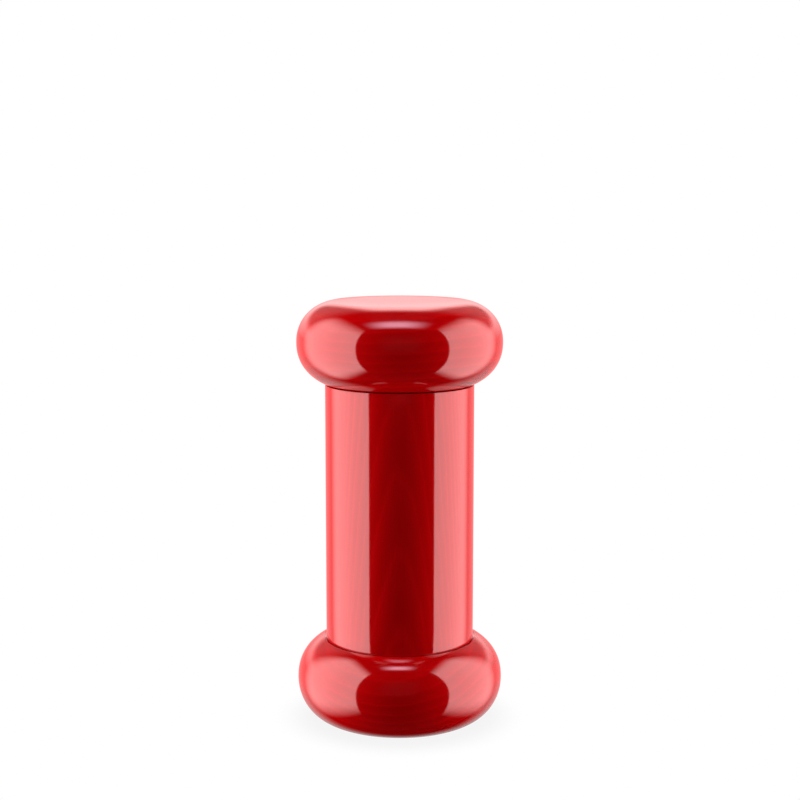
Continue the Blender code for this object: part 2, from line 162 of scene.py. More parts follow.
def grain(look, turn, pith, ring_width, taper):
    """Growth of a turned blank: its own coordinates, the share of the year's ring, and fibres.

    The blank's fibres run along Z after the turn, and pith is where its heart lies across them. The
    taper, which tilts the rings to the fibres, makes them run out on the surface in tall arches.
    """
    along = look.stretched(look.millimetres(), (1.0, 1.0, 1.0), turn)
    drift = look.noise(look.stretched(along, (0.035, 0.035, 0.012)), 1.0, 2.0)
    wobble = look.noise(look.stretched(along, (0.16, 0.16, 0.03)), 1.0, 2.0)
    moved = look.node(
        "ShaderNodeVectorMath", {0: along, 1: (-pith[0], -pith[1], 0.0)}, operation="ADD"
    ).outputs[0]
    split = look.node("ShaderNodeSeparateXYZ", {0: moved})
    across = look.node("ShaderNodeCombineXYZ", {0: split.outputs[0], 1: split.outputs[1]})
    radius = look.node(
        "ShaderNodeVectorMath", {0: across.outputs[0]}, operation="LENGTH"
    ).outputs["Value"]
    radius = look.maths("MULTIPLY_ADD", split.outputs[2], taper, radius)
    radius = look.maths("MULTIPLY_ADD", drift, 1.6 * ring_width, radius)
    radius = look.maths("MULTIPLY_ADD", wobble, 0.35 * ring_width, radius)
    year = look.maths("FRACT", look.maths("DIVIDE", radius, ring_width))
    fibres = look.noise(look.stretched(along, (2.4, 2.4, 0.05)), 1.0, 4.0, 0.62)
    return along, year, fibres


LACQUER_IOR = 1.9  # glossier than real lacquer, so that dim boxes are enough
LACQUER_RELIEF = 0.0008


def lacquered_wood(name, turn, pith, ring_width, taper):
    """Clear red lacquer with a polished face over pale wood, whose grain just shows through it."""
    look = Look(name)
    along, year, fibres = grain(look, turn, pith, ring_width, taper)
    late = look.spread(year, 0.0, 0.5)
    late = look.maths("MULTIPLY", late, look.spread(year, 0.66, 0.80, 1.0, 0.0))
    pale = look.spread(year, 0.76, 0.88)
    pale = look.maths("MULTIPLY", pale, look.spread(year, 0.90, 1.0, 1.0, 0.0))
    cloud = look.noise(look.stretched(along, (0.07, 0.07, 0.02)), 1.0, 2.0)
    flecks = look.noise(look.stretched(along, (3.2, 3.2, 0.42)), 1.0, 1.0, 0.4)
    flecks = look.spread(flecks, 0.62, 0.74)
    tone = look.mix(late, rgb(0.405, 0.0006, 0.0016), rgb(0.362, 0.0004, 0.0012))
    tone = look.mix(pale, tone, rgb(0.455, 0.0009, 0.0020))
    tone = look.mix(look.spread(fibres, 0.36, 0.66, 0.0, 0.5), tone, rgb(0.34, 0.0003, 0.0010))
    tone = look.mix(look.spread(cloud, 0.35, 0.65, 0.0, 0.35), tone, rgb(0.41, 0.0008, 0.0018))
    tone = look.mix(look.maths("MULTIPLY", flecks, 0.15), tone, rgb(0.25, 0.0002, 0.0008))
    look.colour(tone)
    look.gloss(look.spread(fibres, 0.3, 0.7, 0.055, 0.085, smooth=False), ior=LACQUER_IOR)
    height = look.maths("MULTIPLY_ADD", fibres, 0.5, look.maths("MULTIPLY", late, 0.5))
    look.relief(height, LACQUER_RELIEF)
    return look.material


def bare_wood(name, turn, pith, ring_width, taper):
    """The same blank where the lathe tool left it and no lacquer reaches."""
    look = Look(name)
    along, year, fibres = grain(look, turn, pith, ring_width, taper)
    late = look.maths("MULTIPLY", look.spread(year, 0.0, 0.82), look.spread(year, 0.90, 1.0, 1.0, 0.0))
    flecks = look.noise(look.stretched(along, (2.2, 2.2, 0.22)), 1.0, 1.0, 0.4)
    flecks = look.spread(flecks, 0.60, 0.72)
    tone = look.mix(late, rgb(0.66, 0.46, 0.29), rgb(0.53, 0.34, 0.195))
    tone = look.mix(look.spread(fibres, 0.35, 0.68, 0.0, 0.6), tone, rgb(0.47, 0.295, 0.165))
    tone = look.mix(look.maths("MULTIPLY", flecks, 0.55), tone, rgb(0.25, 0.13, 0.065))
    look.colour(tone)
    look.gloss(look.spread(fibres, 0.3, 0.7, 0.52, 0.68))
    look.relief(look.maths("SUBTRACT", fibres, look.maths("MULTIPLY", flecks, 0.7)), 0.05)
    return look.material


def moulded_plastic(name, colour, roughness):
    """Satin plastic with the fine spark-eroded texture of its mould."""
    look = Look(name)
    place = look.millimetres()
    patch = look.noise(place, 0.25, 3.0)
    fine = look.noise(place, 9.0, 2.0)
    shade = [0.8 * c for c in colour[:3]] + [1.0]
    look.colour(look.mix(look.spread(patch, 0.3, 0.7), colour, shade))
    look.gloss(look.spread(patch, 0.3, 0.7, roughness - 0.05, roughness + 0.07), ior=1.49)
    look.relief(fine, 0.012)
    return look.material


def fired_ceramic():
    look = Look("fired_ceramic")
    place = look.millimetres()
    specks = look.spread(look.noise(place, 5.5, 2.0, 0.6), 0.62, 0.70)
    patch = look.noise(place, 0.4, 2.0)
    tone = look.mix(look.spread(patch, 0.3, 0.7), rgb(0.83, 0.81, 0.76), rgb(0.77, 0.74, 0.68))
    look.colour(look.mix(look.maths("MULTIPLY", specks, 0.35), tone, rgb(0.45, 0.41, 0.35)))
    look.gloss(look.spread(patch, 0.3, 0.7, 0.34, 0.44), ior=1.6)
    look.relief(look.noise(place, 14.0, 3.0), 0.010)
    return look.material


def drawn_metal(name, colour, roughness, scale, depth):
    """Metal with fine marks that run the way scale stretches them."""
    look = Look(name)
    marks = look.noise(look.stretched(look.millimetres(), scale), 1.0, 4.0, 0.6)
    patch = look.noise(look.millimetres(), 0.35, 2.0)
    shade = [0.82 * c for c in colour[:3]] + [1.0]
    look.colour(look.mix(look.spread(marks, 0.3, 0.75), colour, shade))
    worn = look.spread(patch, 0.3, 0.7, roughness - 0.04, roughness + 0.06)
    look.gloss(worn, metallic=1.0)
    look.relief(marks, depth)
    return look.material


ALONG_Z = (0.0, 0.0, 0.0)
ALONG_X = (0.0, math.pi / 2, 0.0)  # turns X onto the grain's own Z
BLANKS = {  # fibre direction, heart of the tree, ring width, taper
    "body": (ALONG_Z, (2.4, 60.0), 0.95, -0.038),
    "foot": (ALONG_X, (-62.0, 9.0), 2.6, 0.05),
    "knob": (ALONG_X, (-70.0, -14.0), 2.9, 0.04),
}
LACQUER = {node: lacquered_wood(f"red_lacquer_{node}", *blank) for node, blank in BLANKS.items()}
BARE = {node: bare_wood(f"bare_beech_{node}", *blank) for node, blank in BLANKS.items()}
BLACK = moulded_plastic("black_plastic_moulded", rgb(0.020, 0.020, 0.021), 0.40)
GREY = moulded_plastic("grey_plastic_moulded", rgb(0.32, 0.33, 0.34), 0.42)
CERAMIC = fired_ceramic()
ALUMINIUM = drawn_metal("drawn_aluminium", rgb(0.80, 0.81, 0.82), 0.34, (7.0, 7.0, 0.12), 0.001)
STEEL = drawn_metal("bright_steel", rgb(0.62, 0.62, 0.63), 0.27, (4.0, 4.0, 4.0), 0.0006)


# ---- Shape tools ----

def span(node):
    """The outer radius, lowest and highest point of a CAD node that turns about Z."""
    low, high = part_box(node)
    return (high.x - low.x) / 2 / MM, low.z / MM, high.z / MM


def span_height(node):
    """The lowest and highest point of a CAD node."""
    low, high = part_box(node)
    return low.z / MM, high.z / MM


def swell(centre, waist, reach, rise, power, count, cut=None):
    """A quarter of a superellipse as (radius, height) points, ending at the waist.

    It starts level at the radius centre, or where it is cut off at a height of cut from the waist.
    """
    start = 0.0
    if cut is not None:
        start = math.acos(abs(cut / rise) ** (power / 2))
    points = []
    for i in range(count):
        angle = start + (math.pi / 2 - start) * i / (count - 1)
        across = max(math.sin(angle), 0.0) ** (2 / power)
        up = max(math.cos(angle), 0.0) ** (2 / power)
        points.append((centre + reach * across, waist + rise * up))
    return points


def eased(corners, closed=False, steps=4):
    """Outline corners, each (radius, height) or (radius, height, ease).

    A corner with an ease becomes a round that starts that far from it on both sides. The ends of
    an outline that is not closed stay as they are.
    """
    points = []
    last = len(corners) - 1
    for i, corner in enumerate(corners):
        here = Vector(corner[:2])
        if len(corner) < 3 or (not closed and i in (0, last)):
            points.append(tuple(here))
            continue
        before, after = Vector(corners[i - 1][:2]), Vector(corners[(i + 1) % (last + 1)][:2])
        start = here + (before - here).normalized() * corner[2]
        end = here + (after - here).normalized() * corner[2]
        for k in range(steps + 1):
            share = k / steps
            points.append(tuple(start.lerp(here, share).lerp(here.lerp(end, share), share)))
    return points


def band(bore, radius, bottom, top, eases):
    """A plain ring's outline. The eases are the corners', from the bore's top to its bottom."""
    corners = ((bore, top), (radius, top), (radius, bottom), (bore, bottom))
    return eased([(*corner, ease) for corner, ease in zip(corners, eases)], closed=True)


def climb(start, end, rows):
    """Points evenly spread from start to end, both kept."""
    return [tuple(Vector(start).lerp(Vector(end), i / rows)) for i in range(rows + 1)]


def turned(stretches, steps, shape=None, place=(0.0, 0.0), slant=0.0):
    """A closed skin turned round the upright through place.

    Each stretch is (outline points, material slot), and the stretches follow each other. An outline
    that starts and ends on the axis is solid, and any other closes into a ring. shape(radius,
    height, angle) may change the radius of a point. slant turns each ring by so many radians for
    each millimetre of its height, after its shape is made.
    """
    bm = bmesh.new()
    rings = []
    slots = []
    for points, slot in stretches:
        for radius, height in points:
            ring = []
            for i in range(1 if radius < 1e-6 else steps):
                angle = WHOLE_TURN * i / steps
                reach = shape(radius, height, angle) if shape and radius > 1e-6 else radius
                angle += slant * height
                x = place[0] + reach * math.cos(angle)
                y = place[1] + reach * math.sin(angle)
                ring.append(bm.verts.new((x * MM, y * MM, height * MM)))
            rings.append(ring)
            slots.append(slot)
    solid = len(rings[0]) == 1 and len(rings[-1]) == 1
    for k in range(len(rings) - (1 if solid else 0)):
        above, below = rings[k], rings[(k + 1) % len(rings)]
        for i in range(steps):
            j = (i + 1) % steps
            corners = [
                above[i % len(above)], above[j % len(above)],
                below[j % len(below)], below[i % len(below)],
            ]
            corners = list(dict.fromkeys(corners))
            if len(corners) > 2:
                face = bm.faces.new(corners)
                face.material_index = slots[(k + 1) % len(rings)]
    bmesh.ops.remove_doubles(bm, verts=bm.verts, dist=1e-7)
    return bm


def piece(name, body, bm, materials, node, sharp=32.0):
    """Makes a piece of the model from a bmesh, in place of a CAD node on the same body."""
    obj = holder(name, bm)
    for material in materials:
        obj.data.materials.append(material)
    smooth(obj.data, sharp)
    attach(obj, body)
    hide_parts(node)


def smooth(mesh, sharp):
    mesh.polygons.foreach_set("use_smooth", [True] * len(mesh.polygons))
    mesh.set_sharp_from_angle(angle=math.radians(sharp))


def bake(obj, *steps):
    """Applies modifiers, each a function that sets one up on obj, and keeps the result as its mesh."""
    for step in steps:
        step(obj)
    bpy.context.view_layer.update()
    result = bpy.data.meshes.new_from_object(
        obj.evaluated_get(bpy.context.evaluated_depsgraph_get())
    )
    obj.modifiers.clear()
    obj.data = result


def carve(bm, cutters, operation="DIFFERENCE"):
    """The bmesh with each cutter, itself a bmesh, taken out of it or joined to it."""
    work = holder("work", bm)
    for cutter in cutters:
        other = holder("cutter", cutter)

        def step(obj, other=other):
            cut = obj.modifiers.new("cut", "BOOLEAN")
            cut.operation = operation
            cut.solver = "EXACT"
            cut.object = other

        bake(work, step)
        bpy.data.objects.remove(other)
    carved = bmesh.new()
    carved.from_mesh(work.data)
    bpy.data.objects.remove(work)
    bmesh.ops.dissolve_degenerate(carved, dist=1e-7, edges=carved.edges)
    return carved


def add_object(name, data):
    obj = bpy.data.objects.new(name, data)
    bpy.context.scene.collection.objects.link(obj)
    return obj


def holder(name, bm):
    """An object in the scene whose mesh is the bmesh, which is used up."""
    bmesh.ops.recalc_face_normals(bm, faces=bm.faces)
    mesh = bpy.data.meshes.new(name)
    bm.to_mesh(mesh)
    bm.free()
    return add_object(name, mesh)


def rod(radius, low, high, place=(0.0, 0.0), steps=SMALL, slot=0):
    """An upright bar with as many sides as steps."""
    bm = bmesh.new()
    at = Matrix.Translation((place[0] * MM, place[1] * MM, (low + high) / 2 * MM))
    bmesh.ops.create_cone(
        bm, cap_ends=True, segments=steps, radius1=radius * MM, radius2=radius * MM,
        depth=(high - low) * MM, matrix=at,
    )
    for face in bm.faces:
        face.material_index = slot
    return bm


def brick(low, high, turn=0.0, place=(0.0, 0.0)):
    """A block between two corners, turned about the upright through place."""
    bm = bmesh.new()
    low, high = Vector(low) * MM, Vector(high) * MM
    size = Matrix.Diagonal((*(high - low), 1.0))
    at = Matrix.Translation((place[0] * MM, place[1] * MM, 0.0)) @ Matrix.Rotation(turn, 4, "Z")
    bmesh.ops.create_cube(bm, size=1.0, matrix=at @ Matrix.Translation((low + high) / 2) @ size)
    return bm


def hexagon_reach(flats, angle):
    """Distance from the axis to the side of a hexagon with two flats facing along Y."""
    off = (angle + math.pi / 6 - math.pi / 2) % (math.pi / 3) - math.pi / 6
    return flats / 2 / math.cos(off)


def ridge(phase):
    """A rounded tooth: 0 in the valley at whole numbers of phase and 1 on the crest between them."""
    return 0.5 - 0.5 * math.cos(WHOLE_TURN * phase)


def around(count, radius, first=0.0):
    """Places evenly spread round the axis."""
    angles = [first + WHOLE_TURN * i / count for i in range(count)]
    return [(radius * math.cos(a), radius * math.sin(a)) for a in angles]


# ---- Turned wood ----

FOOT_RADIUS, FOOT_BOTTOM, FOOT_TOP = span("foot")
BODY_RADIUS, TENON_BOTTOM, BODY_TOP = span("body")
KNOB_RADIUS, SPIGOT_BOTTOM, KNOB_TOP = span("knob")
FLANGE_RADIUS, FLANGE_BOTTOM, CUP_TOP = span("grinder_housing")
SOCKET_FLANGE_RADIUS, SOCKET_BOTTOM, SOCKET_TOP = span("knob_socket")

FOOT_WAIST = 12.8  # height of the foot's widest line
FOOT_SHOULDER = 25.3  # where the foot meets the body
FOOT_FLAT = 20.5  # outer radius of the ring that the mill stands on
RECESS_RADIUS = FLANGE_RADIUS + GAP
RECESS_DEPTH = 5.0
MECHANISM_RADIUS = 13.5
TENON_RADIUS = 17.0
CHAMBER_RADIUS = 13.0
MECHANISM_TOP = CUP_TOP + GAP
KNOB_WAIST = KNOB_TOP - 12.6  # height of the knob's widest line
KNOB_FLAT = 18.0  # radius of the knob's flat top
KNOB_SEAM, FOOT_SEAM = 0.05, 0.1  # open lines above and below the body
KNOB_BOTTOM = BODY_TOP + KNOB_SEAM
SPIGOT_RADIUS = CHAMBER_RADIUS - GAP
SOCKET_BORE = 7.9

HOUSING_SCREWS = around(4, 15.3, math.pi / 4)
SOCKET_SCREWS = around(3, 10.6, math.pi / 2)
SCREW_HOLE = 1.1


def pilot_holes(screw, places, mouth):
    """Cutters for the screws' holes, which go up into the wood from the height mouth."""
    tip = span_height(screw)[1] + GAP
    return [rod(SCREW_HOLE, mouth - 1.0, tip, place, 24, 1) for place in places]


def make_foot():
    level, rise, power = 12.8, 14.7, 2.24  # level: radius where the upper curve is flat
    upper = swell(level, FOOT_WAIST, FOOT_RADIUS - level, rise, power, 34, FOOT_TOP - FOOT_WAIST)
    lower = swell(FOOT_FLAT, FOOT_WAIST, FOOT_RADIUS - FOOT_FLAT, -FOOT_WAIST, 2.0, 30)
    hole, rim = TENON_RADIUS + GAP, 23.0
    shelf = TENON_BOTTOM - GAP
    outside = [(hole, FOOT_SHOULDER), (rim - 0.4, FOOT_SHOULDER), (rim, FOOT_SHOULDER)]
    outside += upper + lower[-2::-1]
    outside += [(RECESS_RADIUS + 0.9, FOOT_BOTTOM)]
    inside = eased([
        (RECESS_RADIUS + 0.5, FOOT_BOTTOM),
        (RECESS_RADIUS, FOOT_BOTTOM, 0.4),
        (RECESS_RADIUS, RECESS_DEPTH, 0.3),
        (MECHANISM_RADIUS, RECESS_DEPTH, 0.25),
        (MECHANISM_RADIUS, shelf, 0.25),
        (hole, shelf, 0.3),
        (hole, FOOT_SHOULDER),
    ])
    bm = turned([(outside, 0), (inside[:-1], 1)], ROUND)
    holes = pilot_holes("housing_screw_1", HOUSING_SCREWS, RECESS_DEPTH)
    piece("foot_turned", "base", carve(bm, holes), [LACQUER["foot"], BARE["foot"]], "foot")


def make_body():
    bottom = FOOT_SHOULDER + FOOT_SEAM
    high_edge = eased([
        (CHAMBER_RADIUS + 1.2, BODY_TOP), (BODY_RADIUS, BODY_TOP, 0.1), (BODY_RADIUS, bottom),
    ])[:-1]
    low_edge = eased([
        (BODY_RADIUS, BODY_TOP), (BODY_RADIUS, bottom, 0.15), (TENON_RADIUS + 0.2, bottom),
    ])[1:]
    outside = high_edge + climb(high_edge[-1], low_edge[0], 12)[1:-1] + low_edge
    inside = eased([
        (TENON_RADIUS, bottom),
        (TENON_RADIUS, TENON_BOTTOM, 0.5),
        (MECHANISM_RADIUS, TENON_BOTTOM, 0.4),
        (MECHANISM_RADIUS, MECHANISM_TOP, 0.2),
        (CHAMBER_RADIUS, MECHANISM_TOP, 0.2),
        (CHAMBER_RADIUS, BODY_TOP, 0.8),
        (CHAMBER_RADIUS + 1.0, BODY_TOP),
    ])
    bm = turned([(outside, 0), (inside, 1)], ROUND)
    piece("body_turned", "base", bm, [LACQUER["body"], BARE["body"]], "body")


def make_knob():
    power = 2.07
    upper = swell(KNOB_FLAT, KNOB_WAIST, KNOB_RADIUS - KNOB_FLAT, KNOB_TOP - KNOB_WAIST, power, 34)
    level, rise, power = 12.9, -14.5, 2.2  # of the lower curve, cut off at the body
    cut = KNOB_WAIST - KNOB_BOTTOM
    lower = swell(level, KNOB_WAIST, KNOB_RADIUS - level, rise, power, 36, cut)
    flat = climb((0.0, KNOB_TOP), (KNOB_FLAT - 3.0, KNOB_TOP), 6)
    upper = [point for point in upper if point[0] > KNOB_FLAT + 2.5]
    lip = eased([
        lower[1], (lower[0][0], KNOB_BOTTOM, 0.08), (SPIGOT_RADIUS + 1.0, KNOB_BOTTOM),
    ])
    outside = flat + upper + lower[-2:0:-1] + lip[1:]
    socket_top = SOCKET_TOP + 0.5
    inside = eased([
        (SPIGOT_RADIUS + 0.4, KNOB_BOTTOM),
        (SPIGOT_RADIUS, KNOB_BOTTOM - 0.35),
        (SPIGOT_RADIUS, SPIGOT_BOTTOM, 0.6),
        (SOCKET_BORE, SPIGOT_BOTTOM, 0.3),
        (SOCKET_BORE, socket_top, 0.6),
        (0.0, socket_top),
    ])
    bm = turned([(outside, 0), (inside, 1)], ROUND)
    holes = pilot_holes("socket_screw_1", SOCKET_SCREWS, SPIGOT_BOTTOM)
    piece("knob_turned", "knob", carve(bm, holes), [LACQUER["knob"], BARE["knob"]], "knob")


# ---- Grinding set ----

THROAT = 8.7  # height at which the corns start to be ground fine
LIP_RADIUS, LIP_TOP = 10.3, 5.4
CUP_BORE = 11.7
LEDGE_BORE = 12.1
FLANGE_TOP = RECESS_DEPTH - GAP
CUP_RADIUS = MECHANISM_RADIUS - GAP
SHAFT_FLATS = 5.5  # across the flats of the hexagon
HEX_BORE = (SHAFT_FLATS + 2 * GAP) / 2  # from the axis to a side of a bore for it
PITCH = 1.5  # of the thread that carries the adjusting wheel
THREAD_ROOT, THREAD_CREST = 2.0, 2.4
THREAD_PLAY = 0.13  # between the shaft's thread and the wheel's


def make_housing():
    ledge = span_height("shaft_guide")[0] - GAP
    ring = eased([
        (LEDGE_BORE, CUP_TOP, 0.25),
        (CUP_RADIUS, CUP_TOP, 0.25),
        (CUP_RADIUS, FLANGE_TOP, 0.3),
        (FLANGE_RADIUS, FLANGE_TOP, 0.3),
        (FLANGE_RADIUS, FLANGE_BOTTOM, 0.45),
        (LIP_RADIUS, FLANGE_BOTTOM, 0.45),
        (LIP_RADIUS, LIP_TOP, 0.3),
        (CUP_BORE, LIP_TOP, 0.15),
        (CUP_BORE, ledge, 0.15),
        (LEDGE_BORE, ledge, 0.1),
    ], closed=True)
    cutters = []
    for place in HOUSING_SCREWS:
        cutters.append(rod(SCREW_HOLE, FLANGE_BOTTOM - 1, FLANGE_TOP + 1, place, 24))
    inner, half, depth = LIP_RADIUS + 0.9, 0.13, 0.22
    for k in range(-6, 7):  # a scale for the wheel, at the front
        length = 2.2 if k % 3 == 0 else 1.3
        turn = -math.pi / 2 + math.radians(4.5) * k
        outer_end = (inner + length, half, FLANGE_BOTTOM + depth)
        cutters.append(brick((inner, -half, FLANGE_BOTTOM - 1), outer_end, turn))
    inner, half, low, high = CUP_RADIUS - 0.35, 2.1, 7.0, CUP_TOP - 3.0
    for k in range(12):  # ribs stand between these wall pockets
        turn = WHOLE_TURN * (k + 0.5) / 12
        cutters.append(brick((inner, -half, low), (FLANGE_RADIUS, half, high), turn))
    bm = carve(turned([(ring, 0)], FINE), [joined(cutters)])
    piece("grinder_housing_moulded", "base", bm, [BLACK], "grinder_housing")


def joined(parts):
    """One bmesh of several that don't touch each other."""
    whole = bmesh.new()
    for part in parts:
        mesh = bpy.data.meshes.new("part")
        part.to_mesh(mesh)
        part.free()
        whole.from_mesh(mesh)
        bpy.data.meshes.remove(mesh)
    return whole


def furrow(phase, land, steep=0.3):
    """Depth of a cut between two teeth, from 0 on the land to 1 at its foot beside a steep flank."""
    share = phase % 1.0
    if share <= land:
        return 0.0
    share = (share - land) / (1 - land)
    return share / steep if share < steep else (1 - share) / (1 - steep)


BURR_STEPS = 240  # facets round a burr, six to each fine tooth
FINE_TEETH, FINE_DEPTH = 40, 0.34
TOOTH_RUN = 0.6  # height over which a fine tooth reaches its depth
OUTER_BLADES, INNER_BLADES = 10, 6
BLADE_SLANT = 0.07  # radians a millimetre
MOUTH_ROUND = 0.25  # of the outer burr's upper edge


def make_outer_burr():
    radius, bottom, top = span("outer_burr")
    mouth, throat, way_out = 9.4, 8.4, 10.0
    wall = climb((way_out, bottom + 0.15), (throat, THROAT), 8)
    wall += climb((throat, THROAT), (mouth, top - MOUTH_ROUND), 14)[1:]
    ring = eased([
        (mouth + MOUTH_ROUND, top),
        (radius, top, 0.3),
        (radius, bottom, 0.3),
        (way_out + 0.15, bottom),
    ]) + wall

    def shape(reach, height, turn):
        if reach > mouth + 0.7:
            return reach
        share = turn / WHOLE_TURN
        if height <= THROAT:
            fade = min(1.0, (THROAT - height) / TOOTH_RUN)
            return reach + FINE_DEPTH * fade * furrow(share * FINE_TEETH, 0.3, 0.25)
        fade = (height - THROAT) / (top - THROAT)
        return reach + (0.15 + 0.95 * fade) * furrow(share * OUTER_BLADES, 0.25, 0.2)

    bm = turned([(ring, 0)], BURR_STEPS, shape, slant=BLADE_SLANT)
    piece("outer_burr_toothed", "base", bm, [CERAMIC], "outer_burr", sharp=24)


def make_inner_burr():
    radius, bottom, top = span("inner_burr")
    bore, crown, waist = 4.6, 5.9, 7.4
    throat = THROAT + 0.2
    ease, top_ease = 0.2, 0.15
    side = climb((crown, top - top_ease), (waist, throat), 14)
    side += climb((waist, throat), (radius, bottom + ease), 8)[1:]
    ring = [(bore + ease, top), (crown - top_ease, top)] + side + [
        (radius - ease, bottom), (bore + ease, bottom), (bore, bottom + ease), (bore, top - ease),
    ]

    def shape(reach, height, turn):
        if reach < crown - ease:
            return reach
        share = turn / WHOLE_TURN
        if height <= throat:
            fade = min(1.0, (throat - height) / TOOTH_RUN)
            return reach - FINE_DEPTH * fade * furrow(-share * FINE_TEETH, 0.3, 0.25)
        fade = (height - THROAT) / (top - THROAT)
        depth = 0.2 + 1.9 * fade * (1.0 - 0.62 * fade)
        return reach - depth * furrow(-share * INNER_BLADES, 0.18, 0.22)

    bm = turned([(ring, 0)], BURR_STEPS, shape, slant=-BLADE_SLANT)
    piece("inner_burr_toothed", "burr", bm, [CERAMIC], "inner_burr", sharp=24)


def make_retaining_ring():
    radius, bottom, top = span("burr_retaining_ring")
    bore = 9.7
    ring = band(bore, radius, bottom, top, (0.35, 0.2, 0.15, 0.15))
    notches = [
        brick((bore - 0.6, -0.6, bottom - 0.4), (bore + 0.75, 0.6, top + 0.4), WHOLE_TURN * k / 6)
        for k in range(6)
    ]
    bm = carve(turned([(ring, 0)], FINE), [joined(notches)])
    piece("burr_retaining_ring_moulded", "base", bm, [GREY], "burr_retaining_ring")


def make_guide():
    radius, bottom, top = span("shaft_guide")
    rim_top, rim_bore = 27.4, 10.6
    hub_radius, hub_bore = 4.5, 3.5
    spoke_bottom, spoke_top, half = 24.4, 26.9, 1.2
    hub_ring = band(hub_bore, hub_radius, bottom, top, (0.3, 0.25, 0.15, 0.3))
    rim_ring = band(rim_bore, radius, bottom, rim_top, (0.35, 0.15, 0.15, 0.35))
    hub, rim = turned([(hub_ring, 0)], FINE), turned([(rim_ring, 0)], FINE)
    spokes = []
    for k in range(3):
        turn = math.pi / 2 + WHOLE_TURN * k / 3
        inner_end = (hub_radius - 0.5, -half, spoke_bottom)
        spoke = brick(inner_end, (rim_bore + 0.6, half, spoke_top), turn)
        ridges = [edge for edge in spoke.edges if edge.calc_length() > 5 * MM]
        bmesh.ops.bevel(spoke, geom=ridges, offset=0.55 * MM, segments=4, profile=0.5, affect="EDGES")
        spokes.append(spoke)
    bm = carve(hub, spokes + [rim], "UNION")
    piece("shaft_guide_moulded", "base", bm, [BLACK], "shaft_guide")


# ---- Shaft and what rides on it ----

def thread(height, turn, root, crest, pitch, ends):
    """Radius of a right-hand thread, which runs out to its root over half a pitch at both ends."""
    share = (height / pitch - turn / WHOLE_TURN) % 1.0
    flank = 1.0 - abs(2.0 * share - 1.0)
    cut = min(max((flank - 0.2) / 0.55, 0.0), 1.0)
    run = min(height - ends[0], ends[1] - height) / (0.5 * pitch)
    return root + (crest - root) * cut * min(max(run, 0.0), 1.0)


def make_shaft():
    _, bottom, top = span("drive_shaft")
    blank, neck, nose = 3.08, 2.3, 2.0  # the blank rounds the hexagon's corners
    above_grooves, below_grooves = 111.6, 28.6  # ends of the plain bar outside the grooves
    middle_top, middle_bottom = 109.0, 31.0  # and of the one between them
    thread_top = 8.0
    hole, hole_top = 1.5, bottom + 4.0

    def groove(node):
        low, high = span_height(node)
        middle, half = (low + high) / 2, (high - low) / 2 + GAP
        return [
            (blank, middle + half + 0.12), (blank - 0.12, middle + half),
            (neck + 0.1, middle + half), (neck, middle + half - 0.1),
            (neck, middle - half + 0.1), (neck + 0.1, middle - half),
            (blank - 0.12, middle - half), (blank, middle - half - 0.12),
        ]

    rows = int((thread_top - bottom) / 0.125)
    outline = [(0.0, top), (nose - 0.2, top), (nose, top - 0.1), (blank, top - 1.6)]
    outline += climb((blank, top - 1.7), (blank, above_grooves), 2)
    outline += groove("socket_clip")
    outline += climb((blank, middle_top), (blank, middle_bottom), 20)
    outline += groove("shaft_clip")
    outline += climb((blank, below_grooves), (blank, thread_top + 0.5), 6)
    outline += climb((THREAD_ROOT, thread_top), (THREAD_ROOT, bottom + 0.2), rows)
    outline += [(THREAD_ROOT - 0.2, bottom), (hole + 0.15, bottom), (hole, bottom + 0.15)]
    outline += [(hole, hole_top), (0.0, hole_top)]

    def shape(reach, height, turn):
        if abs(reach - THREAD_ROOT) < 0.01 and height <= thread_top:
            return thread(height, turn, THREAD_ROOT, THREAD_CREST, PITCH, (bottom, thread_top))
        return min(reach, hexagon_reach(SHAFT_FLATS, turn))

    bm = turned([(outline, 0)], FINE, shape)
    piece("drive_shaft_machined", "shaft", bm, [ALUMINIUM], "drive_shaft")


def make_shaft_clip():
    radius, bottom, top = span("shaft_clip")
    bore = 2.65
    ring = band(bore, radius, bottom, top, (0.08, 0.12, 0.12, 0.08))

    def shape(reach, height, turn):
        """Three prongs reach in to the groove, with a pocket between them."""
        if reach > bore + 0.2:
            return reach
        return reach + 0.85 * ridge(2 * turn / math.pi) ** 0.6

    mouth = brick((1.0, -2.0, bottom - 1), (radius + 1, 2.0, top + 1))
    bm = carve(turned([(ring, 0)], FINE, shape), [mouth])
    piece("shaft_clip_stamped", "shaft", bm, [STEEL], "shaft_clip")


def make_washer(name, node, bore):
    radius, bottom, top = span(node)
    ring = band(bore, radius, bottom, top, (0.1, 0.16, 0.16, 0.1))
    piece(name, "shaft", turned([(ring, 0)], FINE), [STEEL], node)


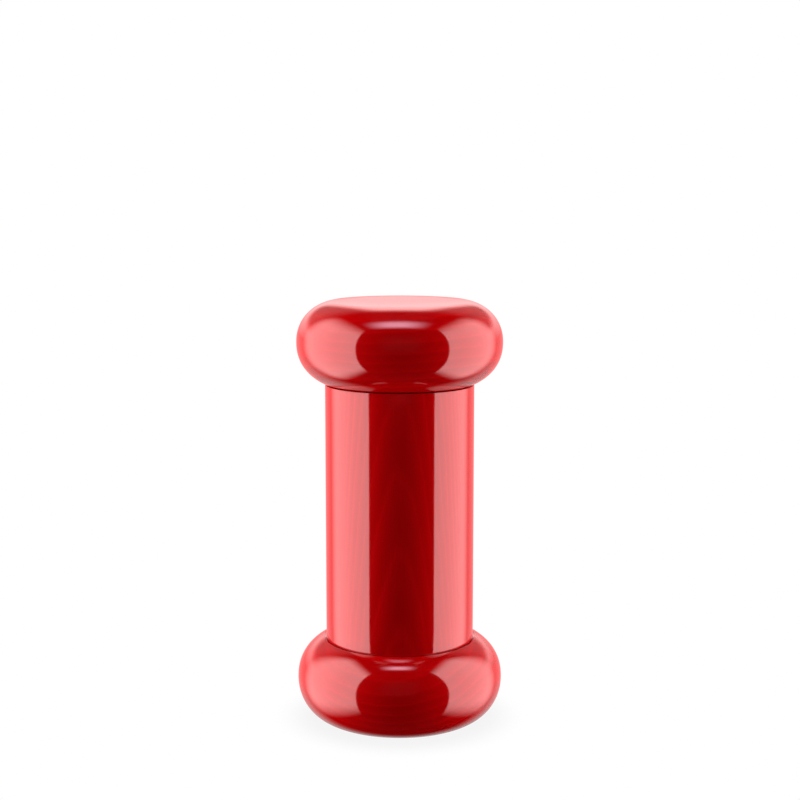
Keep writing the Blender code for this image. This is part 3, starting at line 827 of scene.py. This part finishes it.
def swept(points, radius, sides=14):
    """A round bar along a path, with domed ends."""
    path = [Vector(p) for p in points]
    rows = []
    last = len(path) - 1
    side = None
    for i, here in enumerate(path):
        way = (path[min(i + 1, last)] - path[max(i - 1, 0)]).normalized()
        if side is None:
            side = way.orthogonal().normalized()
        side = (side - way * side.dot(way)).normalized()
        up = way.cross(side)
        rings = [(here, radius)]
        if i in (0, last):
            out = way if i else -way
            dome = [(math.pi / 2) * k / 4 for k in range(4)]
            rings = [(here + out * radius * (math.sin(a) - 1.0), radius * math.cos(a)) for a in dome]
            rings = rings if i else rings[::-1]
        for middle, size in rings:
            rows.append([
                middle + (side * math.cos(WHOLE_TURN * k / sides)
                          + up * math.sin(WHOLE_TURN * k / sides)) * size
                for k in range(sides)
            ])
    bm = bmesh.new()
    rows = [[bm.verts.new(p * MM) for p in row] for row in rows]
    for row, after in zip(rows, rows[1:]):
        for k in range(sides):
            j = (k + 1) % sides
            bm.faces.new((row[k], row[j], after[j], after[k]))
    bm.faces.new(rows[0][::-1])
    bm.faces.new(rows[-1])
    return bm


SPRING_COIL = 4.4  # radius of the coil's middle line
SPRING_WIRE = 0.35
SPRING_TURNS = 4.5
SPRING_CLOSE = 0.24  # how much flatter the end turns lie than the middle ones


def make_spring():
    _, bottom, top = span("pressure_spring")
    low, high = bottom + SPRING_WIRE, top - SPRING_WIRE
    count = int(SPRING_TURNS * 40)
    points = []
    for i in range(count + 1):
        share = i / count
        angle = WHOLE_TURN * SPRING_TURNS * share
        lift = share - SPRING_CLOSE * math.sin(WHOLE_TURN * share) / WHOLE_TURN
        points.append((
            SPRING_COIL * math.cos(angle), SPRING_COIL * math.sin(angle), low + (high - low) * lift
        ))
    bm = swept(points, SPRING_WIRE)
    spring = holder("pressure_spring_coiled", bm)
    spring.data.materials.append(STEEL)
    smooth(spring.data, 32)
    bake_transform(spring)
    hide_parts("pressure_spring")


def cross_recess(place, low, reach, width, depth):
    """A tapered cross that is cut into a screw head from below."""
    arms = []
    for turn in (0.0, math.pi / 2):
        arm = brick((-reach, -width, low - 0.4), (reach, width, low + depth), turn, place)
        middle = Vector((place[0] * MM, place[1] * MM, 0.0))
        for vert in arm.verts:
            if vert.co.z > low * MM:
                flat = vert.co - middle
                vert.co.x = middle.x + flat.x * 0.45
                vert.co.y = middle.y + flat.y * 0.45
        arms.append(arm)
    return arms


MACHINE_SCREW = (1.2, 0.9, 0.5, 0.9, 2.2)  # shank, root, pitch, height of the head, dome
WOOD_SCREW = (0.8, 0.52, 0.9, 1.1, 2.0)


def make_screw(node, body, shank, root, pitch, head, dome):
    """A pan-head screw that points up. head is how tall its head is, and dome is its rounding."""
    low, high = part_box(node)
    place = ((low.x + high.x) / 2 / MM, (low.y + high.y) / 2 / MM)
    radius, bottom, tip = (high.x - low.x) / 2 / MM, low.z / MM, high.z / MM
    seat = bottom + head
    rows = int((tip - 0.9 - seat - 0.15) / (pitch / 6))
    outline = [(0.0, tip), (root * 0.25, tip - 0.12), (root, tip - 0.9)]
    outline += climb((root, tip - 1.0), (root, seat + 0.15), rows)
    outline += [(root + 0.15, seat), (radius - 0.08, seat), (radius, seat - 0.08)]
    crown = swell(radius * 0.45, seat - head * 0.45, radius * 0.55, -head * 0.55, dome, 7)
    outline += crown[::-1] + [(0.0, bottom)]

    def shape(reach, height, turn):
        if height > seat and abs(reach - root) < 0.01:
            return thread(height, turn, root, shank, pitch, (seat + 0.2, tip - 0.5))
        return reach

    bm = turned([(outline, 0)], SMALL, shape, place)
    bm = carve(bm, cross_recess(place, bottom, radius * 0.62, radius * 0.15, head * 0.72))
    piece(f"{node}_threaded", body, bm, [STEEL], node)


def make_carrier():
    radius, bottom, top = span("burr_carrier")
    neck = 4.3
    shoulder = top - 1.0
    ring = eased([
        (HEX_BORE, top, 0.2), (radius, top, 0.2), (radius, shoulder, 0.15), (neck, shoulder, 0.1),
        (neck, bottom, 0.25), (HEX_BORE, bottom, 0.2),
    ], closed=True)

    def shape(reach, height, turn):
        if reach > HEX_BORE + 0.25:
            return reach
        return hexagon_reach(2 * HEX_BORE, turn) + reach - HEX_BORE

    bm = turned([(ring, 0)], FINE, shape)
    piece("burr_carrier_moulded", "burr", bm, [GREY], "burr_carrier")


FLUTES, FLUTE_RADIUS = 12, 1.1
WHEEL_STEPS = 192


def make_wheel():
    radius, bottom, top = span("adjusting_wheel")
    web, well = 4.0, 4.2
    flute_place = radius + 0.5
    bore = THREAD_ROOT + THREAD_PLAY
    crest = bore + THREAD_CREST - THREAD_ROOT
    beyond = (0.0, 20.0)  # ends past the wheel's, so its thread never runs out
    rows = int((top - web - 0.2) / 0.1)
    outside = eased([
        (bore + 0.45, top), (radius, top, 0.35), (radius, bottom, 0.45), (well, bottom, 0.3),
        (well, web, 0.2), (bore + 0.45, web),
    ], steps=5)
    ring = outside + climb((bore, web + 0.1), (bore, top - 0.1), rows)

    def shape(reach, height, turn):
        if abs(reach - bore) < 0.01:
            return thread(height, turn, bore, crest, PITCH, beyond)
        if reach < radius - 0.6:
            return reach
        off = (turn * FLUTES / WHOLE_TURN) % 1.0 - 0.5
        off *= WHOLE_TURN / FLUTES
        aside = flute_place * math.sin(off)
        if abs(aside) >= FLUTE_RADIUS:
            return reach
        near = flute_place * math.cos(off) - math.sqrt(FLUTE_RADIUS ** 2 - aside ** 2)
        return reach - max(radius - near, 0.0)

    inner, outer, half = 5.2, 7.2, 0.22
    mark = brick((inner, -half, bottom - 1), (outer, half, bottom + 0.25), -math.pi / 2)
    bm = carve(turned([(ring, 0)], WHEEL_STEPS, shape), [mark])
    piece("adjusting_wheel_moulded", "wheel", bm, [GREY], "adjusting_wheel")


# ---- Socket in the knob ----

def make_socket():
    radius = SOCKET_BORE - GAP
    flange_top = SPIGOT_BOTTOM - GAP
    hex_top = 115.5
    slot_half = 4.4
    inner, outer, half, pocket_top = 4.9, 6.5, 1.7, 106.0
    outline = [(0.0, SOCKET_TOP)] + eased([
        (radius - 2.0, SOCKET_TOP),
        (radius, SOCKET_TOP, 0.5),
        (radius, flange_top, 0.3),
        (SOCKET_FLANGE_RADIUS, flange_top, 0.3),
        (SOCKET_FLANGE_RADIUS, SOCKET_BOTTOM, 0.5),
        (HEX_BORE, SOCKET_BOTTOM, 0.5),
        (HEX_BORE, hex_top, 0.2),
        (0.0, hex_top),
    ])

    def shape(reach, height, turn):
        if reach > HEX_BORE + 0.6 or height > hex_top:
            return reach
        return hexagon_reach(2 * HEX_BORE, turn) * reach / HEX_BORE

    low, high = span_height("socket_clip")
    slot_low, slot_high = low - GAP, high + GAP
    slot = brick((-radius - 1, -slot_half, slot_low), (radius + 1, slot_half, slot_high))
    cutters = [rod(SCREW_HOLE, SOCKET_BOTTOM - 1, flange_top + 1, p, 24) for p in SOCKET_SCREWS]
    for k in range(6):  # pockets between the moulding's ribs
        turn = WHOLE_TURN * (k + 0.5) / 6
        cutters.append(brick((inner, -half, SOCKET_BOTTOM - 1), (outer, half, pocket_top), turn))
    bm = carve(turned([(outline, 0)], FINE, shape), [slot, joined(cutters)])
    piece("knob_socket_moulded", "knob", bm, [BLACK], "knob_socket")


def make_socket_clip():
    low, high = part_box("socket_clip")
    height = (low.z + high.z) / 2 / MM
    wire, reach = 0.5, high.x / MM
    leg = high.y / MM - wire  # how far out each leg lies
    bend = low.x / MM + leg + wire
    squeeze = 0.28  # the legs bow in where they grip the shaft
    points = []
    for k in range(13):
        x = reach + (bend - reach) * k / 12
        points.append((x, leg - squeeze * ridge((reach - x) / (reach - bend)), height))
    for k in range(1, 16):
        angle = math.pi / 2 + math.pi * k / 16
        points.append((bend + leg * math.cos(angle), leg * math.sin(angle), height))
    points += [(x, -y, z) for x, y, z in points[12::-1]]
    piece("socket_clip_bent", "knob", swept(points, wire), [STEEL], "socket_clip")


# ---- Floor, light and camera ----

def hide_from(obj, *rays):
    for kind in rays:
        setattr(obj, f"visible_{kind}", False)


def emitter(name, strength, sides, tint):
    """A glowing sheet, brightest inside its edges, that adds its light to what is behind it.

    Each side is (axis, edge, fade): the light falls off from edge - fade to nothing at edge, along
    the sheet's own X or Y axis, where a negative edge is on the negative side.
    """
    look = Look(name)
    split = look.node("ShaderNodeSeparateXYZ", {0: look.millimetres()})
    share = 1.0
    for axis, edge, fade in sides:
        inner = edge - math.copysign(fade, edge)
        share = look.maths("MULTIPLY", share, look.spread(split.outputs[axis], edge, inner))
    strength = look.maths("MULTIPLY", share, strength)
    glow = look.node("ShaderNodeEmission", {"Color": rgb(*tint), "Strength": strength})
    clear = look.node("ShaderNodeBsdfTransparent")
    both = look.node("ShaderNodeAddShader", {0: glow.outputs[0], 1: clear.outputs[0]})
    look.surface(both.outputs[0])
    return look.material


def sheet_light(name, centre, right, up, size, strength, fades, tint):
    """A soft box as the gloss mirrors it. Neither the camera nor the matt side of a surface sees it.

    right and up are the directions of the sheet's own X and Y, size is its full width and height,
    and fades are the soft widths at its left, right, bottom and top.
    """
    half = (size[0] / 2, size[1] / 2)
    right, up = Vector(right).normalized(), Vector(up).normalized()
    bm = bmesh.new()
    bmesh.ops.create_grid(bm, x_segments=1, y_segments=1, size=1.0)
    bmesh.ops.scale(bm, vec=(half[0] * MM, half[1] * MM, 1.0), verts=bm.verts)
    obj = holder(name, bm)
    turn = Matrix((right, up, right.cross(up))).transposed().to_4x4()
    obj.matrix_world = Matrix.Translation(Vector(centre) * MM) @ turn
    edges = [(0, -half[0]), (0, half[0]), (1, -half[1]), (1, half[1])]
    sides = [(*edge, fade) for edge, fade in zip(edges, fades)]
    obj.data.materials.append(emitter(name, strength, sides, tint))
    hide_from(obj, "camera", "shadow", "diffuse")


SIDE_DISTANCE = 160.0  # of the two side boxes from the mill's axis
SIDE_LOW, SIDE_HIGH = -170.0, 350.0
SIDE_TINT = (1.0, 0.61, 0.61)
SIDE_CRISP, SIDE_ENDS = 4.5, 130.0  # soft widths at the front edge, and at the top and bottom
SIDES = {  # side, front edge, back edge, soft width at the back, brightness
    "left_box": (-1, -159.0, 125.0, 90.0, 3.2),
    "right_box": (1, -129.0, 125.0, 85.0, 3.05),
}


def light_sides():
    """Two tall boxes, one at each side, with crisp front edges and soft backs."""
    height = (SIDE_LOW + SIDE_HIGH) / 2
    tall = SIDE_HIGH - SIDE_LOW
    for name, (side, front, back, fade, brightness) in SIDES.items():
        sheet_light(
            name, (side * SIDE_DISTANCE, (front + back) / 2, height), (0, 1, 0), (0, 0, 1),
            (back - front, tall), brightness, (SIDE_CRISP, fade, SIDE_ENDS, SIDE_ENDS), SIDE_TINT,
        )


BAR_CENTRE, BAR_SIZE = (-4.0, -55.0, 200.0), (110.0, 50.0)
BAR_BRIGHTNESS, BAR_TINT = 4.6, (1.0, 0.58, 0.74)
BAR_FADES = (50.0, 50.0, 22.0, 22.0)


def light_above():
    sheet_light(
        "overhead_bar", BAR_CENTRE, (1, 0, 0), (0, 1, 0), BAR_SIZE, BAR_BRIGHTNESS, BAR_FADES, BAR_TINT
    )


WASHES = {  # centre, direction, width and height, brightness
    "left_wash": ((-400.0, 32.0, 70.0), (1, 0, 0), (200.0, 700.0), 12.3),
    "right_wash": ((400.0, 50.0, 70.0), (-1, 0, 0), (200.0, 700.0), 11.3),
    "top_wash": ((0.0, 20.0, 400.0), (0, 0, -1), (200.0, 200.0), 4.0),
    "front_wash": ((0.0, -640.0, 300.0), (0, 0.94, -0.33), (500.0, 500.0), 3.4),
    "back_wash": ((0.0, 600.0, 90.0), (0, -1, 0), (400.0, 400.0), 4.0),
    "under_wash": ((0.0, 0.0, -260.0), (0, 0, 1), (400.0, 400.0), 0.5),
}


def light_matt():
    """Area lamps for the matt side of every surface, left out of its mirror image."""
    for name, (centre, toward, size, brightness) in WASHES.items():
        lamp = bpy.data.lights.new(name, "AREA")
        lamp.shape = "RECTANGLE"
        lamp.size, lamp.size_y = size[0] * MM, size[1] * MM
        lamp.energy = brightness * math.pi * lamp.size * lamp.size_y
        obj = add_object(name, lamp)
        obj.location = Vector(centre) * MM
        obj.rotation_euler = Vector(toward).to_track_quat("-Z", "Y").to_euler()
        hide_from(obj, "camera", "glossy")


ROOM_TINTS = {  # by height, which is -1 straight down and 0 level with the eye
    -0.45: (0.45, 0.45, 0.45),
    -0.25: (1.0, 0.35, 0.35),
    0.0: (1.0, 0.35, 0.35),
    0.06: (1.0, 0.58, 0.58),
}
ROOM_GLOWS = (1.3, 0.7, 1.9)  # low on the wall, added up the wall, and added again in its middle
ASIDE_GLOW = 0.25  # share of the wall's glow that is left high up at its sides
ROOM_SPANS = {  # where each change starts and ends, in X, Y or Z of the direction
    "front_to_back": (0.35, 0.75),
    "up_wall": (0.05, 0.22),
    "up_middle": (0.15, 0.60),
    "up_sides": (0.16, 0.36),
    "middle_to_side": (0.08, 0.26),
    "ceiling": (0.74, 0.95),
}


def light_room():
    """White to the camera. The gloss mirrors a dark front and a bright wall at the back.

    Higher up, the wall is brighter in the middle and dimmer at the sides, and the ceiling is dark.
    """
    world = bpy.data.worlds.new("studio")
    world.use_nodes = True
    bpy.context.scene.world = world
    room = Graph(world.node_tree)
    room.tree.nodes.clear()

    def change(value, name, low, high):
        return room.spread(value, *ROOM_SPANS[name], low, high)

    def glow(strength, colour=rgb(1, 1, 1)):
        return room.node("ShaderNodeBackground", {"Color": colour, "Strength": strength}).outputs[0]

    way = room.node("ShaderNodeTexCoord").outputs["Generated"]
    across, along, up = room.node("ShaderNodeSeparateXYZ", {0: way}).outputs
    low, wall, crown = ROOM_GLOWS
    behind = change(along, "front_to_back", 0.0, 1.0)
    level = change(up, "up_wall", low, low + wall)
    middle = room.maths("ADD", level, change(up, "up_middle", 0.0, crown))
    aside = room.maths("MULTIPLY", level, change(up, "up_sides", 1.0, ASIDE_GLOW))
    sideways = change(room.maths("ABSOLUTE", across), "middle_to_side", 0.0, 1.0)
    rising = room.node("ShaderNodeMix", {0: sideways, 2: middle, 3: aside})
    mirrored = room.maths("MULTIPLY", behind, rising.outputs[0])
    mirrored = room.maths("MULTIPLY", mirrored, change(up, "ceiling", 1.0, 0.0))
    height = room.node("ShaderNodeMapRange", {"Value": up, "From Min": -1.0})
    tint = room.node("ShaderNodeValToRGB", {0: height.outputs[0]})
    stops = tint.color_ramp.elements
    for place, colour in ROOM_TINTS.items():
        stops.new((place + 1.0) / 2).color = rgb(*colour)
    stops.remove(stops[0])
    stops.remove(stops[-1])
    path = room.node("ShaderNodeLightPath")
    both = room.node(
        "ShaderNodeMixShader",
        {0: path.outputs["Is Camera Ray"], 1: glow(mirrored, tint.outputs[0]), 2: glow(1.0)},
    )
    room.node("ShaderNodeOutputWorld", {"Surface": both.outputs[0]})
    world.cycles_visibility.diffuse = False


FLOOR_PAINTED_SHADE = 0.90  # brightness of the painted shade on the floor right under the foot
PAINTED_SHADE_REACH = 12.0  # how far from the foot the painted shade starts


def make_floor():
    """A pale, even floor with a faint painted shade round the foot. It is open when seen from below.
    """
    bm = bmesh.new()
    bmesh.ops.create_circle(bm, cap_ends=True, segments=96, radius=6.0)
    floor = holder("floor", bm)
    look = Look("pale_floor")
    # The floor only glows and takes no light, so its shade is painted: the glow is dimmer where
    # ambient occlusion finds the foot near.
    open_air = look.node("ShaderNodeAmbientOcclusion", {"Distance": PAINTED_SHADE_REACH * MM}, samples=16)
    shade = look.spread(open_air.outputs["AO"], 0.25, 1.0, FLOOR_PAINTED_SHADE, 1.0)
    glow = look.node("ShaderNodeEmission", {"Strength": shade})
    clear = look.node("ShaderNodeBsdfTransparent")
    back = look.node("ShaderNodeNewGeometry").outputs["Backfacing"]
    both = look.node("ShaderNodeMixShader", {0: back, 1: glow.outputs[0], 2: clear.outputs[0]})
    look.surface(both.outputs[0])
    floor.data.materials.append(look.material)
    hide_from(floor, "glossy", "diffuse", "shadow")


CAMERA_PLACE = (0.1, -486.5, 167.4)
CAMERA_TILT = 82.04  # degrees up from looking straight down
CAMERA_LENS = 72.4


def make_camera():
    data = bpy.data.cameras.new("camera")
    data.lens = CAMERA_LENS
    data.clip_start = 0.01
    camera = add_object("camera", data)
    camera.location = Vector(CAMERA_PLACE) * MM
    camera.rotation_euler = (math.radians(CAMERA_TILT), 0.0, 0.0)
    bpy.context.scene.camera = camera
    bpy.context.scene.view_settings.view_transform = "Standard"


make_camera()
make_floor()
light_room()
light_sides()
light_above()
light_matt()
make_foot()
make_body()
make_knob()
make_housing()
make_outer_burr()
make_retaining_ring()
make_guide()
make_shaft()
make_shaft_clip()
make_washer("spring_washer_stamped", "spring_washer", bore=3.5)
make_spring()
make_washer("end_washer_stamped", "end_washer", bore=1.5)
make_screw("end_screw", "shaft", *MACHINE_SCREW)
make_inner_burr()
make_carrier()
make_wheel()
make_socket()
make_socket_clip()
for number in (1, 2, 3, 4):
    make_screw(f"housing_screw_{number}", "base", *WOOD_SCREW)
for number in (1, 2, 3):
    make_screw(f"socket_screw_{number}", "knob", *WOOD_SCREW)
